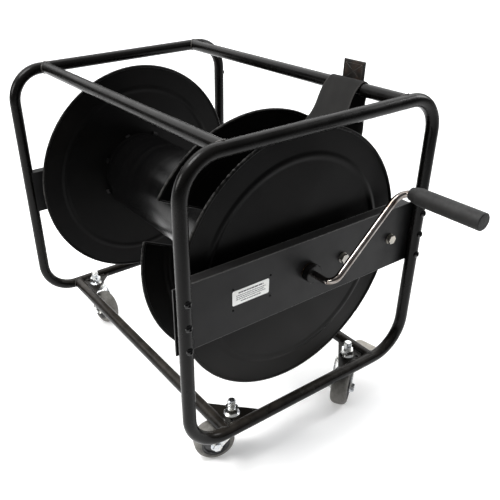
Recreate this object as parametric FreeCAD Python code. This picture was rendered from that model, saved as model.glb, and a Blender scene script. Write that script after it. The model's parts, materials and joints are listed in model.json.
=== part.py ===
"""Hand-cranked cable drum on a tubular frame with four swivel castors.

Frame of the part: +Z up, X to the right along the crank end, Y from the crank end to the far end.
The origin is on the floor, under the middle of the whole object. The model is worked out about the
middle of the frame, with z = 0 at the centre line of the bottom tubes, and moved when it is saved.
All sizes are in millimetres.
"""
import FreeCAD
import Part
import math
import os

# --- driving dimensions ---------------------------------------------------------------------------
TUBE_R = 12.7                    # one inch frame tube
TUBE_WALL = 1.6
FRAME_W = 571.4                  # hoop width between tube centres
FRAME_H = 577.8                  # hoop height between tube centres
FRAME_D = 704.6                  # distance between the two hoops' planes
BEND_TOP = 70.0                  # bend radius of the hoops' top corners
BEND_BOTTOM = 80.0
TOP_RAIL_X = 203.2
BOTTOM_RAIL_X = 199.6

AXIS_Z = 290.7                   # drum axis above the bottom tubes
DISC_R = 268.8
DISC_T = 1.5
BEAD_R = 3.5                     # rolled edge of each disc
RIB_R = 212.0                    # pressed ring in each disc
RIB_H = 2.0
RIB_HALF = 10.0
DISC_Y = {"front": -299.2, "middle": -173.7, "rear": 309.4}
CORE_R = 101.6
CORE_WALL = 2.0
AXLE_R = 12.5
SLOT_W = 82.0                    # slot in the middle disc for the cable's tail
SLOT_ANGLE = 155.5               # its direction, from +X towards +Z
LUG_COUNT = 8
LUG_ANGLE = 17.0                 # direction of the first lug
LUG_W = 12.0
LUG_L = 6.0                      # along the core
LUG_H = 6.5                      # up the disc
LUG_LIP = 1.5
SLOT_KEEP_OUT = 30.0             # no lug within this angle of the slot

PLATE_T = 3.0
PLATE_H = 134.0                  # front plate, screwed behind the uprights
REAR_PLATE_H = 101.6             # rear plate, welded between the uprights
PLATE_FLANGE = 22.0
PLATE_END = 12.3                 # how far the front plate reaches past the tube centres
COPE_FIT = 0.02                  # gap left where a piece is cut to fit round a tube
SCREW_PITCH = 47.2
SCREW_R = 4.0
SCREW_HEAD_R = 7.0
SCREW_HEAD_H = 4.6

COLLAR_R = 18.5
CRANK_R = 6.5
CRANK_ARM = 213.9
CRANK_ANGLE = 43.2               # rest direction of the crank arm, from +X towards +Z
CRANK_PLANE = 51.6               # crank arm's centre line in front of the hoop plane
CRANK_BEND_IN = 22.0
CRANK_BEND_OUT = 28.0
GRIP_R = 16.0
GRIP_GAP = 20.3                  # crank plane to the start of the grip
GRIP_L = 148.6
GRIP_FLARE = 1.4                 # how much wider the bore is at the bend, and over what length
GRIP_FLARE_L = 9.0
RUNNING_FIT = 0.05

GUSSET_T = 4.0
GUSSET_LEG = 96.0                # along each of the two tubes it joins
GUSSET_TIP = 5.0                 # width left at its two cut-off corners
STUD_X = 162.6
STUD_Y = 315.0
STUD_R = 8.0
SPARE_HOLE_R = 3.5               # second hole of each gusset, between the stem and the end bar
SPARE_HOLE = (12.0, 18.0)        # how far it is from the stem, outwards in X and in Y
GUSSET_Z = -1.0                  # underside of the gussets

WHEEL_R = 43.0
WHEEL_W = 36.0
WHEEL_GAP = 1.5                  # clearance of the wheel below the frame tubes
TRAIL = 39.0
CASTORS = {                      # name: (side in X, side in Y, direction of the wheel, braked)
    "front_left": (-1, -1, 162.0, False),
    "front_right": (1, -1, 214.0, True),
    "rear_left": (-1, 1, 276.0, False),
    "rear_right": (1, 1, 24.0, True),
}

STRAP_W = 87.0
STRAP_T = 3.5
STRAP_Y = -223.5
STRAP_CLEAR = 4.0                # slack between the strap and the drum core

# --- worked out from those ------------------------------------------------------------------------
HALF_W = FRAME_W / 2
HALF_D = FRAME_D / 2
WEB_FACE = HALF_D - TUBE_R       # plane that touches the inner side of a hoop's tubes
WEB_OUT = {-1: -WEB_FACE, 1: WEB_FACE + PLATE_T}
WEB_IN = {-1: -WEB_FACE + PLATE_T, 1: WEB_FACE}
WHEEL_Z = -TUBE_R - WHEEL_GAP - WHEEL_R
FLOOR_Z = WHEEL_Z - WHEEL_R
ARM_Y = -HALF_D - CRANK_PLANE
GRIP_START = ARM_Y - GRIP_GAP
GRIP_END = GRIP_START - GRIP_L
REAR_REACH = HALF_D + TUBE_R
TO_ORIGIN = FreeCAD.Vector(0, -(GRIP_END + REAR_REACH) / 2, -FLOOR_Z)

X = FreeCAD.Vector(1, 0, 0)
Y = FreeCAD.Vector(0, 1, 0)
Z = FreeCAD.Vector(0, 0, 1)
AXIS_POINT = FreeCAD.Vector(0, 0, AXIS_Z)


# --- small helpers --------------------------------------------------------------------------------
def vec(x, y, z):
    return FreeCAD.Vector(x, y, z)


def save(node, *solids):
    """Move the solids to the part's origin and write them as one node."""
    shape = solids[0] if len(solids) == 1 else Part.Compound(list(solids))
    moved = shape.copy()
    moved.translate(TO_ORIGIN)
    moved.exportStep("parts/%s.step" % node)
    facts = (node, len(moved.Solids), moved.Volume, moved.isValid())
    print("%-28s %2d solid(s) %12.0f mm3 valid %s" % facts)


def rod(radius, start, end):
    """Cylinder from one point to another."""
    along = end - start
    return Part.makeCylinder(radius, along.Length, start, along)


def ring(outer, inner, start, end):
    return rod(outer, start, end).cut(rod(inner, start, end))


def box(low, high):
    size = high - low
    return Part.makeBox(size.x, size.y, size.z, low)


def prism(points, depth):
    """Closed polygon pushed along a vector."""
    face = Part.Face(Part.makePolygon(list(points) + [points[0]]))
    return face.extrude(depth)


def hexagon(across_flats, start, along):
    """Hexagonal bar from a point, along X, Y or Z only."""
    radius = across_flats / math.sqrt(3)
    up = Z if abs(along.z) < abs(along.y) + abs(along.x) else X
    side = along.cross(up)
    side.normalize()
    corners = []
    for i in range(6):
        angle = math.radians(60 * i)
        corners.append(start + side * (radius * math.cos(angle)) + up * (radius * math.sin(angle)))
    return prism(corners, along)


def revolve(points, axis_point, axis):
    """Closed profile turned all the way round an axis."""
    face = Part.Face(Part.makePolygon(list(points) + [points[0]]))
    return face.revolve(axis_point, axis, 360)


def fused(shapes):
    whole = shapes[0].multiFuse(shapes[1:]) if len(shapes) > 1 else shapes[0]
    return whole.removeSplitter()


def bar_bend(corner, toward_start, toward_end, bend, radius):
    """Right-angle bend of a round bar about a corner of its centre line."""
    centre = corner + toward_start * bend + toward_end * bend
    section_at = corner + toward_start * bend
    face = Part.Face(Part.Wire(Part.makeCircle(radius, section_at, toward_start)))
    spin = (section_at - centre).cross(corner + toward_end * bend - centre)
    spin.normalize()
    return face.revolve(centre, spin, 90)


# --- frame ----------------------------------------------------------------------------------------
def hoop_path(y):
    """Centre line of a hoop: a rounded rectangle in the plane at y, begun on the left upright."""
    corners = [
        (vec(-HALF_W, y, 0), BEND_BOTTOM, X, Z),
        (vec(HALF_W, y, 0), BEND_BOTTOM, Z, -X),
        (vec(HALF_W, y, FRAME_H), BEND_TOP, -X, -Z),
        (vec(-HALF_W, y, FRAME_H), BEND_TOP, -Z, X),
    ]
    edges = []
    for i, (corner, bend, onward, back) in enumerate(corners):
        centre = corner + back * bend + onward * bend
        middle = centre - (back + onward) * (bend / math.sqrt(2))
        edges.append(Part.Arc(corner + back * bend, middle, corner + onward * bend).toShape())
        after, after_bend = corners[(i + 1) % 4][:2]
        edges.append(Part.makeLine(corner + onward * bend, after - onward * after_bend))
    return Part.Wire(edges)


def hoop_bar(y, radius):
    """Closed loop of round bar along a hoop's centre line."""
    section = Part.Wire(Part.makeCircle(radius, vec(-HALF_W, y, BEND_BOTTOM), Z))
    return hoop_path(y).makePipeShell([section], True, False, 0)


def hoop(side):
    """One bent-tube end of the frame."""
    return hoop_bar(side * HALF_D, TUBE_R).cut(hoop_bar(side * HALF_D, TUBE_R - TUBE_WALL))


def drilled_hoop():
    """Front hoop with the holes for the cross plate's screws."""
    body = hoop(-1)
    for place in screw_places():
        body = body.cut(rod(SCREW_R, place + Y * 40, place - Y * 40))
    return body


def screw_places():
    """Where the front cross plate is screwed to the uprights."""
    return [vec(side * HALF_W, -HALF_D, AXIS_Z + k * SCREW_PITCH) for side in (-1, 1) for k in (-1, 0, 1)]


def rail(x, z):
    """Straight tube from hoop to hoop, coped to fit round the hoops' tubes."""
    body = ring(TUBE_R, TUBE_R - TUBE_WALL, vec(x, -HALF_D, z), vec(x, HALF_D, z))
    for side in (-1, 1):
        body = body.cut(hoop_bar(side * HALF_D, TUBE_R + COPE_FIT))
    return body


def gusset(sx, sy):
    """Plate across a bottom corner, level with the middle of the tubes, with its two holes."""
    corner = vec(sx * BOTTOM_RAIL_X, sy * HALF_D, GUSSET_Z)
    outline = [(0, 0), (GUSSET_LEG, 0), (GUSSET_LEG, GUSSET_TIP), (GUSSET_TIP, GUSSET_LEG), (0, GUSSET_LEG)]
    plate = prism([corner - vec(sx * x, sy * y, 0) for x, y in outline], Z * GUSSET_T)
    reach = FRAME_D
    plate = plate.cut(rod(TUBE_R, vec(corner.x, -reach, 0), vec(corner.x, reach, 0)))
    plate = plate.cut(rod(TUBE_R, vec(-reach, corner.y, 0), vec(reach, corner.y, 0)))
    stem = vec(sx * STUD_X, sy * STUD_Y, 0)
    spare = stem + vec(sx * SPARE_HOLE[0], sy * SPARE_HOLE[1], 0)
    for radius, at in ((STUD_R, stem), (SPARE_HOLE_R, spare)):
        plate = plate.cut(rod(radius, at - Z * 20, at + Z * 20))
    return plate


# --- cross plates and what is on them -------------------------------------------------------------
LABEL_W = 82.0
LABEL_H = 30.0
LABEL_T = 0.8
LABEL_X = -138.0
LABEL_Z = AXIS_Z + 4.0
HOLE_X = -135.0
HOLE_Z = AXIS_Z + 1.5
HOLE_PITCH_X = 84.0
HOLE_PITCH_Z = 43.5
HOLE_R = 2.2
PLATE_BOLTS_X = (89.0, 222.0)
PLATE_BOLT_R = 5.0
BUSH_R = 16.0


def label_holes():
    return [vec(HOLE_X + i * HOLE_PITCH_X / 2, 0, HOLE_Z + k * HOLE_PITCH_Z / 2)
            for i in (-1, 1) for k in (-1, 1)]


def channel(half, height, web_y, web_far_y, tip_y):
    """Channel along X, centred on the drum's axis: a web between two faces and two flanges."""
    low = AXIS_Z - height / 2
    high = AXIS_Z + height / 2
    profile = [
        (web_y, low),
        (web_y, high),
        (tip_y, high),
        (tip_y, high - PLATE_T),
        (web_far_y, high - PLATE_T),
        (web_far_y, low + PLATE_T),
        (tip_y, low + PLATE_T),
        (tip_y, low),
    ]
    return prism([vec(-half, y, z) for y, z in profile], X * (2 * half))


def front_cross_plate():
    """Plate behind the front uprights, with flanges inwards between them, and all its holes."""
    flange_half = HALF_W - TUBE_R - 1
    body = channel(flange_half, PLATE_H, WEB_OUT[-1], WEB_IN[-1], WEB_OUT[-1] + PLATE_FLANGE)
    half = HALF_W + PLATE_END
    web_low = vec(-half, WEB_OUT[-1], AXIS_Z - PLATE_H / 2)
    body = body.fuse(box(web_low, vec(half, WEB_IN[-1], AXIS_Z + PLATE_H / 2))).removeSplitter()
    holes = [(BUSH_R, vec(0, 0, AXIS_Z))]
    holes += [(SCREW_R, place) for place in screw_places()]
    holes += [(HOLE_R, place) for place in label_holes()]
    holes += [(PLATE_BOLT_R, vec(x, 0, AXIS_Z)) for x in PLATE_BOLTS_X]
    for radius, p in holes:
        body = body.cut(rod(radius, vec(p.x, WEB_OUT[-1] - 10, p.z), vec(p.x, WEB_IN[-1] + 10, p.z)))
    return body


def rear_cross_plate():
    """Lower channel fitted between the rear uprights, flanges outwards."""
    body = channel(HALF_W - 5, REAR_PLATE_H, WEB_IN[1], WEB_OUT[1], WEB_IN[1] + PLATE_FLANGE)
    for side in (-1, 1):
        foot = vec(side * HALF_W, HALF_D, AXIS_Z)
        body = body.cut(rod(TUBE_R + COPE_FIT, foot - Z * REAR_PLATE_H, foot + Z * REAR_PLATE_H))
    return body.cut(rod(BUSH_R, vec(0, WEB_IN[1] - 10, AXIS_Z), vec(0, WEB_OUT[1] + 10, AXIS_Z)))


def plate_screw(place):
    """Button-head screw whose head sits on the round face of the upright."""
    crown = place - Y * (TUBE_R + SCREW_HEAD_H)
    seat = place - Y * (TUBE_R - 2.0)
    dome_r = (SCREW_HEAD_R ** 2 + SCREW_HEAD_H ** 2) / (2 * SCREW_HEAD_H) + 1.2
    head = rod(SCREW_HEAD_R, seat, crown)
    head = head.common(Part.makeSphere(dome_r, crown + Y * dome_r))
    head = head.cut(rod(TUBE_R, place - Z * 30, place + Z * 30))
    head = head.cut(hexagon(5.0, crown + Y * 2.4, Y * -4))
    shank = rod(SCREW_R, place - Y * (TUBE_R - 0.5), vec(place.x, WEB_IN[-1] + 6, place.z))
    return head.fuse(shank).removeSplitter()


def plate_nut(place):
    """Thin nut on the inner face of the front plate."""
    start = vec(place.x, WEB_IN[-1], place.z)
    return hexagon(13.0, start, Y * 4.0).cut(rod(SCREW_R, start - Y * 1, start + Y * 8))


def bearing_housing(side):
    """Flanged ring on the inner face of a cross plate."""
    face = vec(0, WEB_IN[side], AXIS_Z)
    inwards = Y * -side
    flange = ring(38.0, BUSH_R, face, face + inwards * 4)
    barrel = ring(26.0, BUSH_R, face + inwards * 4, face + inwards * 14)
    return flange.fuse(barrel).removeSplitter()


def axle_bush(side):
    start = vec(0, WEB_OUT[side] + side * 1.5, AXIS_Z)
    end = vec(0, WEB_IN[side] - side * 15.5, AXIS_Z)
    return ring(BUSH_R, AXLE_R + RUNNING_FIT, start, end)


def hex_bolt(x):
    face = -WEB_FACE
    head = hexagon(17.0, vec(x, face - 2.0, AXIS_Z), Y * -7.0)
    end = rod(PLATE_BOLT_R, vec(x, face - 2.0, AXIS_Z), vec(x, face + 14.0, AXIS_Z))
    return head.fuse(end).removeSplitter()


def bolt_washer(x):
    return ring(10.5, PLATE_BOLT_R, vec(x, -WEB_FACE - 2.0, AXIS_Z), vec(x, -WEB_FACE, AXIS_Z))


def bolt_nut(x):
    start = vec(x, WEB_IN[-1], AXIS_Z)
    return hexagon(17.0, start, Y * 8.0).cut(rod(PLATE_BOLT_R, start - Y * 1, start + Y * 10))


def label_plate():
    """Blank label with rounded corners on the front plate."""
    at = vec(LABEL_X - LABEL_W / 2, -WEB_FACE - LABEL_T, LABEL_Z - LABEL_H / 2)
    plate = Part.makeBox(LABEL_W, LABEL_T, LABEL_H, at)
    upright = [e for e in plate.Edges if abs(e.tangentAt(e.FirstParameter).y) > 0.9]
    return plate.makeFillet(3.0, upright)


def hoop_screw():
    """Small round-headed screw on the outer side of the rear right upright."""
    at = vec(HALF_W, HALF_D, FRAME_H - 84.0)
    head = rod(4.5, at + X * (TUBE_R - 1.5), at + X * (TUBE_R + 3.5))
    head = head.cut(rod(TUBE_R, at - Z * 20, at + Z * 20))
    return head.makeFillet(1.2, [e for e in head.Edges if e.BoundBox.XMin > HALF_W + TUBE_R + 3.0])


# --- drum -----------------------------------------------------------------------------------------
def disc_profile():
    """Half section of a disc as (radius, offset from its plane), with the pressed ring as a rib."""
    half = DISC_T / 2
    steps = 10
    top = [(AXLE_R, 0.0), (RIB_R - RIB_HALF, 0.0)]
    for i in range(1, steps):
        t = i / steps
        rise = RIB_H * (1 - math.cos(2 * math.pi * t)) / 2
        top.append((RIB_R - RIB_HALF + 2 * RIB_HALF * t, rise))
    top += [(RIB_R + RIB_HALF, 0.0), (DISC_R - BEAD_R, 0.0)]
    return [(r, h + half) for r, h in top], [(r, h - half) for r, h in reversed(top)]


def disc(y, outward):
    """Thin pressed disc with a rolled edge, its rib raised towards the outward side."""
    upper, lower = disc_profile()
    points = [vec(r, y + outward * h, AXIS_Z) for r, h in upper + lower]
    sheet = revolve(points, AXIS_POINT, Y)
    bead = Part.makeTorus(DISC_R - BEAD_R, BEAD_R, vec(0, y, AXIS_Z), Y)
    return sheet.fuse(bead).removeSplitter()


def slotted_disc(y):
    """Middle disc: round the core, with a slot from the core to the edge."""
    body = disc(y, -1)
    body = body.cut(rod(CORE_R, vec(0, y - 10, AXIS_Z), vec(0, y + 10, AXIS_Z)))
    low = vec(CORE_R - 30, y - 10, AXIS_Z - SLOT_W / 2)
    slot = box(low, low + vec(DISC_R - CORE_R + 40, 20, SLOT_W))
    slot.rotate(AXIS_POINT, Y, -SLOT_ANGLE)
    return body.cut(slot)


def drum_core():
    start = vec(0, DISC_Y["front"] + DISC_T / 2, AXIS_Z)
    end = vec(0, DISC_Y["rear"] - DISC_T / 2, AXIS_Z)
    return ring(CORE_R, CORE_R - CORE_WALL, start, end)


def core_lug(face, side):
    """Bevelled tab on the core's +X side, against a disc's face."""
    profile = [
        (CORE_R - 1, face),
        (CORE_R + LUG_H, face),
        (CORE_R + LUG_H, face + side * LUG_LIP),
        (CORE_R + 2, face + side * LUG_L),
        (CORE_R - 1, face + side * LUG_L),
    ]
    low = AXIS_Z - LUG_W / 2
    lug = prism([vec(x, y, low) for x, y in profile], Z * LUG_W)
    return lug.cut(rod(CORE_R, vec(0, -FRAME_D, AXIS_Z), vec(0, FRAME_D, AXIS_Z)))


def core_lugs():
    """Tabs that hold the discs to the core, on the winding side of each disc."""
    lugs = []
    for name, side in (("rear", -1), ("middle", 1), ("front", 1)):
        face = DISC_Y[name] + side * DISC_T / 2
        for i in range(LUG_COUNT):
            angle = LUG_ANGLE + i * 360 / LUG_COUNT
            if name == "middle" and abs(angle - SLOT_ANGLE) < SLOT_KEEP_OUT:
                continue
            lug = core_lug(face, side)
            lug.rotate(AXIS_POINT, Y, -angle)
            lugs.append(lug)
    return lugs


def hub_flange(name, outward):
    """Thick washer between an end disc and the axle."""
    face = DISC_Y[name] + outward * DISC_T / 2
    return ring(45.0, AXLE_R, vec(0, face, AXIS_Z), vec(0, face + outward * 6, AXIS_Z))


AXLE_FRONT = -WEB_FACE - 10.4
AXLE_REAR = WEB_FACE + 12.0
SOCKET_DEPTH = 30.0
COLLAR_GAP = 3.0
COLLAR_L = 14.5


def axle():
    """Round bar through the drum, with a socket at the crank end."""
    front = vec(0, AXLE_FRONT, AXIS_Z)
    body = rod(AXLE_R, front, vec(0, AXLE_REAR, AXIS_Z))
    return body.cut(rod(CRANK_R, front - Y, front + Y * SOCKET_DEPTH))


def crank_collar():
    """Black boss on the end of the axle that the crank bar goes into."""
    start = -WEB_FACE - COLLAR_GAP
    end = start - COLLAR_L
    body = rod(COLLAR_R, vec(0, start, AXIS_Z), vec(0, end, AXIS_Z))
    body = body.makeChamfer(1.5, [e for e in body.Edges if e.BoundBox.YMax < end + 0.1])
    body = body.cut(rod(AXLE_R, vec(0, start + 1, AXIS_Z), vec(0, AXLE_FRONT, AXIS_Z)))
    return body.cut(rod(CRANK_R, vec(0, AXLE_FRONT + 1, AXIS_Z), vec(0, end - 1, AXIS_Z)))


def crank_direction():
    angle = math.radians(CRANK_ANGLE)
    return vec(math.cos(angle), 0, math.sin(angle))


def crank_arm():
    """Bar bent out of the axle, along the arm and out again into the grip."""
    out = crank_direction()
    root = vec(0, AXLE_FRONT + SOCKET_DEPTH - 1, AXIS_Z)
    inner = vec(0, ARM_Y, AXIS_Z)
    outer = inner + out * CRANK_ARM
    tip = vec(outer.x, GRIP_END + 7.0, outer.z)
    pieces = [
        rod(CRANK_R, root, inner + Y * CRANK_BEND_IN),
        bar_bend(inner, Y, out, CRANK_BEND_IN, CRANK_R),
        rod(CRANK_R, inner + out * CRANK_BEND_IN, outer - out * CRANK_BEND_OUT),
        bar_bend(outer, -out, -Y, CRANK_BEND_OUT, CRANK_R),
        rod(CRANK_R, outer - Y * CRANK_BEND_OUT, tip),
    ]
    return fused(pieces)


def crank_grip():
    """Sleeve that turns on the crank bar, tapered at the arm's end and closed at the other."""
    centre = AXIS_POINT + crank_direction() * CRANK_ARM
    bore = CRANK_R + RUNNING_FIT
    profile = [
        (bore + GRIP_FLARE, GRIP_START),
        (GRIP_R - 6.5, GRIP_START),
        (GRIP_R - 4.0, GRIP_START - 2.0),
        (GRIP_R - 0.8, GRIP_START - 16.0),
        (GRIP_R, GRIP_START - 22.0),
        (GRIP_R, GRIP_END + 1.5),
        (GRIP_R - 1.5, GRIP_END),
        (0, GRIP_END),
        (0, GRIP_END + 6.0),
        (bore, GRIP_END + 6.0),
        (bore, GRIP_START - GRIP_FLARE_L),
    ]
    points = [vec(centre.x + r, y, centre.z) for r, y in profile]
    return revolve(points, vec(centre.x, 0, centre.z), Y)


# --- strap ----------------------------------------------------------------------------------------
RAIL_LOOP_R = TUBE_R + 0.4
CORE_LOOP_R = CORE_R + STRAP_CLEAR
STRAP_LEAN = 48.5                # upper run, from straight down towards -X
TAB_W = 57.0
TAB_H = 33.0


def loop_outline(extra):
    """Area inside the strap's centre loop, grown by extra: two circles and the two runs between."""
    top = vec(TOP_RAIL_X, 0, FRAME_H)
    core = AXIS_POINT
    rail_r = RAIL_LOOP_R + extra
    core_r = CORE_LOOP_R + extra
    line = core - top
    spread = math.asin((core_r - rail_r) / line.Length)
    heading = math.atan2(line.z, line.x)
    right = heading + spread + math.pi / 2
    lean = math.radians(STRAP_LEAN)
    run = vec(-math.sin(lean), 0, -math.cos(lean))
    left_normal = vec(-math.cos(lean), 0, math.sin(lean))
    right_normal = vec(math.cos(right), 0, math.sin(right))
    left = top + left_normal * rail_r
    points = [
        left,
        left + run * reach_to_core(left, run, core_r),
        core,
        core + right_normal * core_r,
        top + right_normal * rail_r,
        top,
    ]
    area = prism(points, Y * STRAP_W)
    for centre, radius in ((top, rail_r), (core, core_r)):
        area = area.fuse(rod(radius, centre, centre + Y * STRAP_W))
    return area


def reach_to_core(start, run, radius):
    """Distance along a run to where it meets the circle round the core."""
    offset = start - AXIS_POINT
    along = offset.dot(run)
    return -along - math.sqrt(along ** 2 - offset.dot(offset) + radius ** 2)


def strap_loop():
    """Webbing loop over the right top rail and round the drum core in the tail space."""
    body = loop_outline(STRAP_T).cut(loop_outline(0.0)).removeSplitter()
    body.translate(Y * (STRAP_Y - STRAP_W / 2))
    return body


def strap_end_tab():
    """Stiff stitched end that stands up on the outer side of the rail."""
    low = vec(TOP_RAIL_X + RAIL_LOOP_R + STRAP_T, STRAP_Y - TAB_W / 2, FRAME_H - 12.0)
    return Part.makeBox(STRAP_T, TAB_W, 12.0 + TUBE_R + TAB_H, low)


# --- castors --------------------------------------------------------------------------------------
RACE_R = 22.0
RACE_T = 3.0
CROWN_TOP = GUSSET_Z - RACE_T - 0.4
CROWN_LOW = CROWN_TOP - 7.6
LEG_IN = WHEEL_W / 2 + 2.0
LEG_T = 3.0
AXLE_BOLT_R = 6.0
HUB_R = 29.0
STUD_TOP = 37.0
PEDAL_PIVOT_X = -22.0
PEDAL_PIVOT_Z = -19.0
PEDAL_PIVOT = vec(PEDAL_PIVOT_X, 0, PEDAL_PIVOT_Z)
PIN_R = 2.5
PEDAL_REACH = 92.0
PEDAL_TURN = -24.0               # from straight opposite the wheel, about the stem
PEDAL_HALF = 27.0                # half the tread's width


def castor_places():
    for name, (sx, sy, angle, braked) in CASTORS.items():
        yield name, vec(sx * STUD_X, sy * STUD_Y, 0), angle, braked


def placed(shape, at, angle):
    """Castor pieces are made with the wheel towards +X, then turned and set on the stem."""
    shape.rotate(vec(0, 0, 0), Z, angle)
    shape.translate(at)
    return shape


def castor_stem():
    """Threaded stem with the fixed race plate and the rivet head that carries the fork."""
    stem = rod(STUD_R, vec(0, 0, CROWN_LOW - 1.0), vec(0, 0, STUD_TOP))
    stem = stem.makeChamfer(1.5, [e for e in stem.Edges if e.BoundBox.ZMin > STUD_TOP - 0.1])
    race = rod(RACE_R, vec(0, 0, GUSSET_Z - RACE_T), vec(0, 0, GUSSET_Z))
    race = race.makeFillet(1.2, [e for e in race.Edges if e.BoundBox.ZMax < GUSSET_Z - RACE_T + 0.1])
    rivet = rod(STUD_R + 4.0, vec(0, 0, CROWN_LOW - 2.4), vec(0, 0, CROWN_LOW - 0.4))
    return stem.fuse(race).fuse(rivet).removeSplitter()


def flange_nut():
    """Hexagon nut with a conical flange, on top of the gusset."""
    base = GUSSET_Z + GUSSET_T
    profile = [(STUD_R, base), (16.5, base), (16.5, base + 1.5), (12.5, base + 5.0), (STUD_R, base + 5.0)]
    flange = revolve([vec(r, 0, z) for r, z in profile], vec(0, 0, 0), Z)
    block = hexagon(24.0, vec(0, 0, base + 3.0), Z * 12.0)
    block = block.cut(rod(STUD_R, vec(0, 0, base), vec(0, 0, base + 30)))
    return flange.fuse(block).removeSplitter()


def fork_leg(side):
    """Flat leg beside the wheel, from the crown down to the round eye for the axle bolt."""
    y = side * LEG_IN
    out = Y * (side * LEG_T)
    profile = [
        (-13, CROWN_LOW + 3),
        (9, CROWN_LOW + 3),
        (19, -TUBE_R - 0.6),
        (TRAIL + 11.5, WHEEL_Z + 6),
        (TRAIL - 11, WHEEL_Z - 6),
        (-13, CROWN_LOW - 6),
    ]
    leg = prism([vec(x, y, z) for x, z in profile], out)
    eye_at = vec(TRAIL, y, WHEEL_Z)
    return leg.fuse(rod(13.0, eye_at, eye_at + out))


def fork():
    """Pressed fork: domed crown round the stem and a leg each side of the wheel."""
    bore = STUD_R + 0.3
    profile = [
        (bore, CROWN_TOP),
        (RACE_R - 5, CROWN_TOP),
        (RACE_R, CROWN_TOP - 2.6),
        (RACE_R + 1.6, CROWN_LOW + 1),
        (RACE_R + 1.6, CROWN_LOW),
        (bore, CROWN_LOW),
    ]
    crown = revolve([vec(r, 0, z) for r, z in profile], vec(0, 0, 0), Z)
    return crown.fuse(fork_leg(-1)).fuse(fork_leg(1)).removeSplitter()


def pedal_side(shape):
    """Turn a piece made straight opposite the wheel to where the pedal sits."""
    shape.rotate(vec(0, 0, 0), Z, PEDAL_TURN)
    return shape


def pedal_ear(side):
    """Small plate under the crown that holds one end of the brake pin."""
    y = side * 12.0
    profile = [
        (-10, CROWN_LOW + 1),
        (-20, CROWN_LOW + 1),
        (-27, PEDAL_PIVOT_Z + 4),
        (-27, PEDAL_PIVOT_Z - 6),
        (-10, PEDAL_PIVOT_Z - 6),
    ]
    return prism([vec(x, y, z) for x, z in profile], Y * (side * 2.5))


def fork_with_holes(braked):
    body = fork()
    if braked:
        body = body.fuse(pedal_side(pedal_ear(-1))).fuse(pedal_side(pedal_ear(1))).removeSplitter()
        body = body.cut(pedal_side(rod(PIN_R, PEDAL_PIVOT - Y * 18, PEDAL_PIVOT + Y * 18)))
    at = vec(TRAIL, 0, WHEEL_Z)
    return body.cut(rod(AXLE_BOLT_R, at - Y * 60, at + Y * 60))


def axle_bolt():
    """Bolt across the fork: shank, hexagon head on one side and nut on the other."""
    at = vec(TRAIL, 0, WHEEL_Z)
    outer = LEG_IN + LEG_T
    shank = rod(AXLE_BOLT_R, at - Y * (outer + 8.5), at + Y * outer)
    head = hexagon(17.0, at + Y * outer, Y * 6.5)
    start = at - Y * outer
    nut = hexagon(17.0, start, Y * -7.0).cut(rod(AXLE_BOLT_R, start + Y * 1, start - Y * 12))
    return [shank.fuse(head).removeSplitter(), nut]


def about_wheel(half_profile):
    """Profile given for one side of the wheel as (radius, across), mirrored and turned round its axle."""
    centre = vec(TRAIL, 0, WHEEL_Z)
    whole = [(r, -across) for r, across in half_profile] + list(reversed(half_profile))
    return revolve([centre + X * r + Y * across for r, across in whole], centre, Y)


def tyre():
    """Rubber tyre with a crowned tread."""
    half = WHEEL_W / 2
    return about_wheel([
        (HUB_R, half - 2),
        (HUB_R + 2, half),
        (WHEEL_R - 8, half),
        (WHEEL_R - 3.6, half - 3),
        (WHEEL_R - 1.2, half - 7),
        (WHEEL_R, half - 13),
    ])


def wheel_hub():
    """Plastic wheel centre, dished on both sides round a thick boss."""
    half = WHEEL_W / 2
    return about_wheel([
        (AXLE_BOLT_R + RUNNING_FIT, half + 1.4),
        (11, half + 1.4),
        (12.5, half - 5),
        (24, half - 6),
        (26, half - 2),
        (HUB_R, half - 2),
    ])


def brake_pin():
    return pedal_side(rod(PIN_R, PEDAL_PIVOT - Y * 16.5, PEDAL_PIVOT + Y * 16.5))


def brake_pedal():
    """Foot pedal on the leading side of the fork, with a rounded tread."""
    top = PEDAL_PIVOT_Z + 4.0
    low = PEDAL_PIVOT_Z - 3.5
    arm = box(vec(-48, -11.2, low), vec(PEDAL_PIVOT_X + 4, 11.2, top))
    tread = box(vec(-PEDAL_REACH, -PEDAL_HALF, low), vec(-46, PEDAL_HALF, top))
    upright = [e for e in tread.Edges if e.BoundBox.ZLength > 7]
    outer_corners = [e for e in upright if e.BoundBox.XMax < -PEDAL_REACH + 1]
    tread = tread.makeFillet(12.0, outer_corners)
    body = arm.fuse(tread).removeSplitter()
    rim = [e for e in body.Edges if e.BoundBox.ZMin > top - 0.1 and e.BoundBox.XMax < -45]
    body = body.makeFillet(2.0, rim)
    return pedal_side(body.cut(rod(PIN_R + RUNNING_FIT, PEDAL_PIVOT - Y * 20, PEDAL_PIVOT + Y * 20)))


# --- all nodes ------------------------------------------------------------------------------------
def save_frame():
    save("front_hoop", drilled_hoop())
    save("rear_hoop", hoop(1))
    for name, x, z in (("top_left", -TOP_RAIL_X, FRAME_H), ("top_right", TOP_RAIL_X, FRAME_H),
                       ("bottom_left", -BOTTOM_RAIL_X, 0), ("bottom_right", BOTTOM_RAIL_X, 0)):
        save(name + "_rail", rail(x, z))
    for name, (sx, sy, _, _) in CASTORS.items():
        save("gusset_" + name, gusset(sx, sy))
    save("hoop_screw", hoop_screw())


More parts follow.
